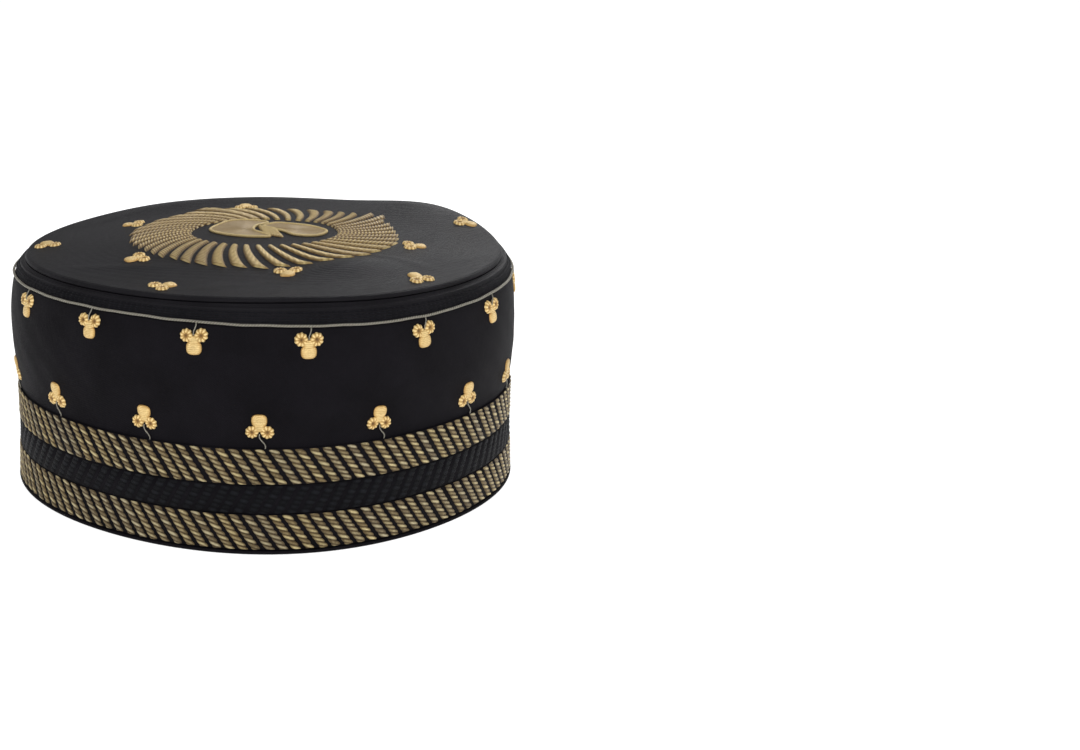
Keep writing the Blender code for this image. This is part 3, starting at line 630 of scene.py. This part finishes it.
def buildRays():
    look = rayLook
    t = (np.arange(look["count"]) + look["start"]) * 2.0 * math.pi / look["count"]
    first = t - look["crowdSides"] / 2.0 * np.sin(2.0 * t) - look["crowdRight"] * np.sin(t)
    after = (np.roll(first, -1) - first) % (2.0 * math.pi)
    pitch = ((after + np.roll(after, 1)) / 2.0)[:, None, None]
    first = first[:, None, None]
    ray = np.arange(look["count"])[:, None, None]
    s = np.linspace(0.0, 1.0, look["rows"])[None, :, None]
    v = np.linspace(-1.0, 1.0, look["columns"])[None, None, :]
    uneven = handSpread(ray, 21) - 0.5
    # 1 in the ridged fans at the left and right, 0 in the plain bars
    fan = np.clip(1.3 * np.abs(np.cos(first - 0.12)) ** 1.6 + 0.9 * nearAngle(first, 118.0, 26.0), 0.0, 1.0)
    merged = nearAngle(first, 92.0, 11.0)
    turn = np.radians(look["swirl"] + look["swirlChange"] * np.cos(first - math.radians(look["swirlMostAt"])))
    last = first + turn
    longer = 5.5 * nearAngle(last, 26.0, 4.0) + 5.0 * nearAngle(last, 115.0, 8.0) - 1.6 * nearAngle(last, 44.0, 8.0)
    inner = ovalRadius(first + turn * s, look["inner"])
    outer = ovalRadius(first + turn * s, look["outer"]) + (longer + 1.4 * uneven) * s ** 2
    slant = (0.030 + 0.035 * (1.0 - fan)) * v
    reach = inner + (outer - inner) * s * (0.985 + slant)
    wide = 0.46 + 0.30 * fan + (0.14 + 0.02 * fan) * s + 0.34 * merged
    foot = 0.14 * (1.0 - fan) * np.clip((s - 0.92) / 0.08, 0.0, 1.0) * (v > 0.0)
    line = math.pi * look["ridges"] * s + 0.5 * v * fan
    wave = np.abs(np.cos(line)) ** 0.8
    deep = 0.10 + 0.34 * fan * (1.0 - merged)
    saw = 1.0 + 0.10 * (wave - 0.5) * fan
    angle = first + turn * s + v * pitch / 2.0 * (wide + foot) * saw
    ends = np.clip(np.minimum(s, 1.0 - s) / 0.018, 0.0, 1.0) ** 0.5
    dome = (1.0 - np.abs(v) ** 3.0) ** 0.7
    x = crownX + reach * np.cos(angle)
    y = reach * np.sin(angle)
    seeds = seedGrain(x, y)
    rise = look["high"] * dome * (1.0 - deep + deep * wave) * ends + 0.45 * merged * s * seeds
    z = crownHeight(x, y) - 0.05 + rise
    # shade of the rays: painted shade in the ridge valleys of the fans and at each ray's edges, a painted highlight
    # along the middle of the plain bars, uneven mottling on the bars, and painted shade and highlight on the seed
    # grains where the rays merge
    plain = 0.62 + 0.38 * np.sin(9.0 * v + 40.0 * s + 8.0 * uneven) * 0.5 + 0.12 * (1.0 - np.abs(v))
    ridged = 0.06 + 0.74 * wave
    shade = (plain * (1.0 - fan) + ridged * fan) * (1.0 - merged) + (0.35 + 0.55 * seeds) * merged
    shade = shade * (0.15 + 0.85 * dome ** 1.4)
    # tint: random for each ray, and raised on the plain satin bars as a painted sheen
    tint = np.broadcast_to(0.25 + 0.5 * handSpread(ray, 5) + 0.25 * (1.0 - fan), x.shape)
    p = np.stack([x, y, z], axis=-1)
    grid = gridPiece("rays", p, rayGold, uvSize=(4.0, 1.0), values={"shade": np.broadcast_to(shade, x.shape), "tint": tint})
    addObject("rayRing", [grid], ["ray_ring"])


# outlines of the leaves and the comb as shares of the rays' inner radius
leafLook = {
    "left": ((-0.773, 0.180), (-0.612, -0.090), (-0.360, -0.259), (-0.126, -0.324), (0.036, -0.309),
             (-0.054, -0.108), (-0.162, 0.108), (-0.108, 0.396), (0.072, 0.612), (-0.180, 0.755),
             (-0.450, 0.719), (-0.647, 0.486)),
    "right": ((0.809, -0.126), (0.827, 0.036), (0.647, 0.288), (0.360, 0.486), (0.162, 0.558),
              (-0.018, 0.378), (0.090, 0.198), (0.234, 0.018), (0.342, -0.198), (0.504, -0.288),
              (0.683, -0.273)),
    "comb": ((-0.072, 0.360), (-0.115, 0.115), (-0.022, -0.094), (0.086, -0.302), (0.295, -0.259),
             (0.194, -0.022), (0.050, 0.165)),
    "size": 28.5, "high": 0.75,
}


# closed smooth line through the outline's points, n points round
def smoothOutline(points, n):
    points = np.asarray(points, float) * leafLook["size"]
    k = len(points)
    xs = np.arange(-2, k + 3)
    t = np.arange(n) * k / n
    return np.stack([smoothTable(t, xs, points[xs % k, i]) for i in range(2)], axis=-1)


# seed stitches: small grains whose height is a product of crossed sines with uneven steps
def seedGrain(x, y):
    a = np.sin(5.2 * x + 1.6 * np.sin(1.7 * y)) * np.sin(5.6 * y + 1.4 * np.sin(1.9 * x + 1.0))
    return 0.5 + 0.5 * a


def leafGrids(points, material, border):
    outline = smoothOutline(points, 180)
    centre = outline.mean(axis=0)
    s = np.linspace(1.0, 0.0, 40)
    x = centre[0] + (outline[:, None, 0] - centre[0]) * s[None, :]
    y = centre[1] + (outline[:, None, 1] - centre[1]) * s[None, :]
    grain = seedGrain(x, y)
    fill = leafLook["high"] * (0.62 + 0.20 * grain) * np.clip((1.0 - s) / 0.05, 0.0, 1.0)[None, :] ** 0.5
    z = crownHeight(x, y) - 0.05 + fill
    p = np.stack([x, y, z], axis=-1)
    # fill shade follows the seed grains: painted shade between them and a painted highlight on them
    grids = [gridPiece("fill", p, material, wrapU=True, values={"shade": 0.15 + 0.60 * grain})]
    n = 420
    line = smoothOutline(points, n)
    line = centre + (line - centre) * 0.97
    path = np.stack([line[:, 0], line[:, 1], crownHeight(line[:, 0], line[:, 1]) + 0.42], axis=-1)
    tube, shade = tubeGrid(path, np.array([0.0, 0.0, 1.0]), border, 10, True, 2, 46, 0.16)
    # border shade: painted shade between the twisted strands
    grids.append(gridPiece("border", tube, material, wrapU=True, wrapV=True, uvSize=(80.0, 1.0), values={"shade": 0.55 + 0.45 * shade}))
    return grids


def buildLeaves():
    addObject("leafLeft", leafGrids(leafLook["left"], rayGold, 0.50), ["leaf_left"])
    addObject("leafRight", leafGrids(leafLook["right"], rayGold, 0.50), ["leaf_right"])
    # comb: six slanting strips that cross its outline from the upper left to the lower right
    k = np.arange(6)[:, None, None]
    u = np.linspace(0.0, 1.0, 26)[None, :, None]
    v = np.linspace(-1.0, 1.0, 7)[None, None, :]
    start = np.array([-0.085, 0.345]) * leafLook["size"]
    step = np.array([0.010, -0.095]) * leafLook["size"]
    run = np.array([0.235, -0.190]) * leafLook["size"]
    across = np.array([run[1], -run[0]]) / np.hypot(*run)
    half = 0.62
    wave = np.abs(np.cos(math.pi * 7.0 * u + 0.9 * v + k))
    ends = np.clip(np.minimum(u, 1.0 - u) / 0.08, 0.0, 1.0) ** 0.5
    x = start[0] + k * step[0] + run[0] * u + across[0] * v * half
    y = start[1] + k * step[1] + run[1] * u + across[1] * v * half
    dome = (1.0 - np.abs(v) ** 2.6) ** 0.7
    z = crownHeight(x, y) + 0.1 + 1.0 * dome * (0.75 + 0.25 * wave) * ends
    # shade: painted shade between the ridges and towards the strip edges
    shade = np.broadcast_to((0.45 + 0.55 * wave) * (0.4 + 0.6 * dome), x.shape)
    grid = gridPiece("comb", np.stack([x, y, z], axis=-1), rayGold, values={"shade": shade}, flip=True)
    addObject("leafComb", [grid], ["leaf_comb"])


# trefoits: three stitched lobes each, placed by rows round the wall and one by one on the crown
trefoilLook = {
    "rowCount": 14, "hangingStart": 275.6, "hangingDrop": 6.1, "standingStart": 264.5, "standingRise": 7.6,
    "tip": 5.4, "ringClear": 1.0, "high": 0.95,
    "hangingDrift": (0.0, 2.8, 1.6, 0.6, -0.8, 0.9, -0.5, 0.4, 1.0, -0.6, 0.7, 2.2, -0.4, 0.5),
    "standingDrift": (0.0, 2.1, 3.6, -1.2, 0.4, -0.6, 0.8, 0.5, -0.9, 0.3, -0.4, 0.9, -1.6, -1.1),
    "ring": ((152.7, 170.0), (211.4, 200.0), (274.6, 265.0), (341.6, 0.0), (94.4, 90.0)),
    "seam": ((237.7, 1.65, 30.0), (311.6, 1.52, 120.0), (11.6, 1.33, 330.0), (177.3, 1.43, 100.0)),
}


# one lobe as a disc: rim at s = 1, stitches as radial ridges, and a dip in the middle of a loop
def lobeShape(centre, along, across, turn, loop, stitches):
    t = np.arange(42)[:, None] * 2.0 * math.pi / 42
    s = np.array([1.0, 0.97, 0.90, 0.78, 0.64, 0.50, 0.36, 0.22, 0.10, 0.0])[None, :]
    square = 2.0 if loop else 2.7
    r = (np.abs(np.cos(t)) ** square + np.abs(np.sin(t)) ** square) ** (-1.0 / square)
    ridge = np.cos(stitches * t)
    if loop:
        r = r * (1.0 + 0.055 * ridge)
        body = np.where(s > 0.55, np.clip(1.0 - ((s - 0.55) / 0.45) ** 2.4, 0.0, 1.0) ** 0.6, 0.45 + 0.55 * (s / 0.55) ** 1.6)
        rise = body * (1.0 + 0.10 * ridge * s)
        # painted shade in the dip in the middle of the loop and between its stitches
        shade = (0.12 + 0.88 * np.clip(s / 0.55, 0.0, 1.0) ** 1.4) * (0.72 + 0.28 * ridge) * np.ones_like(r)
    else:
        body = np.clip(1.0 - s ** 3.2, 0.0, 1.0) ** 0.55
        lx = s * r * np.cos(t) * along
        bands = np.cos(2.0 * math.pi * lx / 0.62)
        rise = body * (1.0 + 0.07 * bands)
        # painted shade between the stitch bands and towards the lobe's rim
        shade = (0.80 + 0.20 * bands) * (0.45 + 0.55 * body)
    c, sn = math.cos(math.radians(turn)), math.sin(math.radians(turn))
    lx = s * r * np.cos(t) * along
    ly = s * r * np.sin(t) * across
    x = centre[0] + lx * c - ly * sn
    y = centre[1] + lx * sn + ly * c
    return x, y, rise * trefoilLook["high"] - 0.08, shade


# the lobes of a trefoil whose long lobe points along +x before its turn
def trefoilLobes():
    return (
        lobeShape((2.75, 0.0), 2.35, 2.75, 0.0, False, 0),
        lobeShape((-1.45, 2.70), 2.30, 2.35, 25.0, True, 9),
        lobeShape((-1.45, -2.70), 2.30, 2.35, -25.0, True, 9),
        lobeShape((0.25, 0.0), 1.65, 2.0, 0.0, False, 0),
    )


# all trefoils of a set: turn and size each, then place (x, y, lift) on the cap
def trefoilGrids(turn, place, seed):
    n = len(turn)
    k = np.arange(n)[:, None, None]
    grids = []
    for part, (x, y, rise, shade) in enumerate(trefoilLobes()):
        a = np.radians(np.asarray(turn))[:, None, None] + 0.16 * (handSpread(k, seed) - 0.5)
        size = 1.0 + 0.07 * (handSpread(k, seed + 1 + part) - 0.5)
        px = size * (x[None] * np.cos(a) - y[None] * np.sin(a))
        py = size * (x[None] * np.sin(a) + y[None] * np.cos(a))
        lift = np.broadcast_to(rise[None] * (0.80 if part == 3 else 1.0), px.shape)
        p = place(px, py, lift)
        tint = np.broadcast_to(handSpread(k, seed + 11), px.shape)
        grids.append(gridPiece("lobe", p, trefoilGold, wrapU=True, uvSize=(1.0, 1.0),
                               values={"shade": np.broadcast_to(shade[None], px.shape), "tint": tint}))
    return grids


# a short pale thread from the trefoil to the cord or band: it moves sideways by bow on the way,
# with an S of height 0.25 * bow * sin(2 pi t)
def stemGrid(angle, fromZ, toZ, bow):
    t = np.linspace(0.0, 1.0, 14)[None, :]
    reach = planRadius(angle)[:, None]
    z = fromZ[:, None] + (toZ - fromZ)[:, None] * t
    a = angle[:, None] + bow * (t - 0.25 * np.sin(2.0 * math.pi * t)) / reach
    path = sidePoint(a, z, clothInset - 0.40 - 0.35 * np.sin(math.pi * t))
    out = np.stack([np.cos(a), np.sin(a), np.zeros_like(a)], axis=-1)
    tube, shade = tubeGrid(path, out, 0.20, 7, False, 2, 5, 0.2)
    # stem shade: painted shade between the twisted strands
    return gridPiece("stem", tube, paleThread, wrapV=True, values={"shade": 0.45 + 0.55 * shade})


def buildTrefoils():
    look = trefoilLook
    n = look["rowCount"]
    # hanging row under the cord
    angle = np.radians(look["hangingStart"] + np.array(look["hangingDrift"]) + np.arange(n) * 360.0 / n)
    z = cordHeight(angle) - look["hangingDrop"]

    def onWall(px, py, lift):
        a = angle[:, None, None] + px / planRadius(angle)[:, None, None]
        return sidePoint(a, z[:, None, None] + py, clothInset - wallWaves(a, z[:, None, None] + py) - lift)

    grids = trefoilGrids(np.full(n, 270.0), onWall, 31)
    grids.append(stemGrid(angle, z + 1.6, cordHeight(angle) - 0.3, 0.7))
    addObject("hangingTrefoils", grids, [f"hanging_trefoil_{i + 1:02d}" for i in range(n)])
    # standing row above the upper band
    angle = np.radians(look["standingStart"] + np.array(look["standingDrift"]) + np.arange(n) * 360.0 / n)
    z = np.full(n, cap["upperBand"][1] + look["standingRise"])
    grids = trefoilGrids(np.full(n, 90.0), onWall, 47)
    grids.append(stemGrid(angle, z - 2.0, z - look["standingRise"] + 0.2, 1.9))
    addObject("standingTrefoils", grids, [f"standing_trefoil_{i + 1:02d}" for i in range(n)])
    # five round the rays and four near the seam
    ring = np.array(look["ring"])
    seam = np.array(look["seam"])
    tips = ovalRadius(np.radians(ring[:, 0]), rayLook["outer"])
    reach = np.concatenate([tips + look["ringClear"] + look["tip"],
                            seamRadius(np.radians(seam[:, 0])) - seam[:, 1] * look["tip"]])
    angle = np.radians(np.concatenate([ring[:, 0], seam[:, 0]]))
    turn = np.concatenate([ring[:, 1], seam[:, 2]])
    cx = (crownX + reach * np.cos(angle))[:, None, None]
    cy = (reach * np.sin(angle))[:, None, None]

    def onCrown(px, py, lift):
        x, y = cx + px, cy + py
        return np.stack([x, y, crownHeight(x, y) + lift], axis=-1)

    grids = trefoilGrids(turn, onCrown, 63)
    addObject("crownTrefoils", grids, [f"crown_trefoil_{i + 1:02d}" for i in range(len(turn))])


# camera of the photograph: its height, turn and framing
view = {"distance": 529.9, "elevation": 18.103, "turn": 4.26, "target": 36.39, "lens": 43.797, "shift": 0.25344}


def setCamera():
    e, a = math.radians(view["elevation"]), math.radians(view["turn"])
    back = np.array([-math.cos(e) * math.sin(a), -math.cos(e) * math.cos(a), math.sin(e)])
    data = bpy.data.cameras.new("camera")
    data.lens = view["lens"]
    data.shift_x = view["shift"]
    data.clip_start = 0.01
    camera = bpy.data.objects.new("camera", data)
    camera.location = (np.array([0.0, 0.0, view["target"]]) + view["distance"] * back) * 0.001
    camera.rotation_mode = "QUATERNION"
    from mathutils import Vector
    camera.rotation_quaternion = Vector(-back).to_track_quat("-Z", "Y")
    scene.collection.objects.link(camera)
    scene.camera = camera


# one soft square lamp that looks at the cap
def softLamp(name, place, size, power, aim=(0.0, 0.0, 0.05)):
    from mathutils import Vector
    data = bpy.data.lights.new(name, "AREA")
    data.shape = "SQUARE"
    data.size = size
    data.energy = power
    lamp = bpy.data.objects.new(name, data)
    lamp.location = place
    lamp.rotation_mode = "QUATERNION"
    lamp.rotation_quaternion = (Vector(aim) - Vector(place)).to_track_quat("-Z", "Y")
    scene.collection.objects.link(lamp)


def setStage():
    floor = bpy.data.meshes.new("floor")
    floor.from_pydata([(-6, -6, 0), (6, -6, 0), (6, 6, 0), (-6, 6, 0)], [], [(0, 1, 2, 3)])
    material = bpy.data.materials.new("paleFloor")
    material.use_nodes = True
    shader = material.node_tree.nodes["Principled BSDF"]
    shader.inputs["Base Color"].default_value = (0.80, 0.80, 0.80, 1.0)
    shader.inputs["Roughness"].default_value = 0.9
    shader.inputs["Specular IOR Level"].default_value = 0.1
    shader.inputs["Emission Color"].default_value = (1.0, 1.0, 1.0, 1.0)
    shader.inputs["Emission Strength"].default_value = 0.62
    floor.materials.append(material)
    plane = bpy.data.objects.new("floor", floor)
    scene.collection.objects.link(plane)
    world = bpy.data.worlds.new("studio")
    world.use_nodes = True
    world.node_tree.nodes["Background"].inputs["Color"].default_value = (1.0, 1.0, 1.0, 1.0)
    world.node_tree.nodes["Background"].inputs["Strength"].default_value = 0.50
    scene.world = world
    softLamp("key", (-0.7, -1.2, 1.3), 0.9, 14.0)
    softLamp("fill", (1.1, -0.9, 0.9), 0.9, 7.0)
    softLamp("back", (0.7, 1.3, 0.9), 0.8, 9.0)
    scene.view_settings.view_transform = "Standard"
    scene.view_settings.look = "None"


setCamera()
buildWall()
buildBinding()
buildBands()
buildCord()
buildStrip()
buildCrown()
buildRays()
buildLeaves()
buildTrefoils()
setStage()
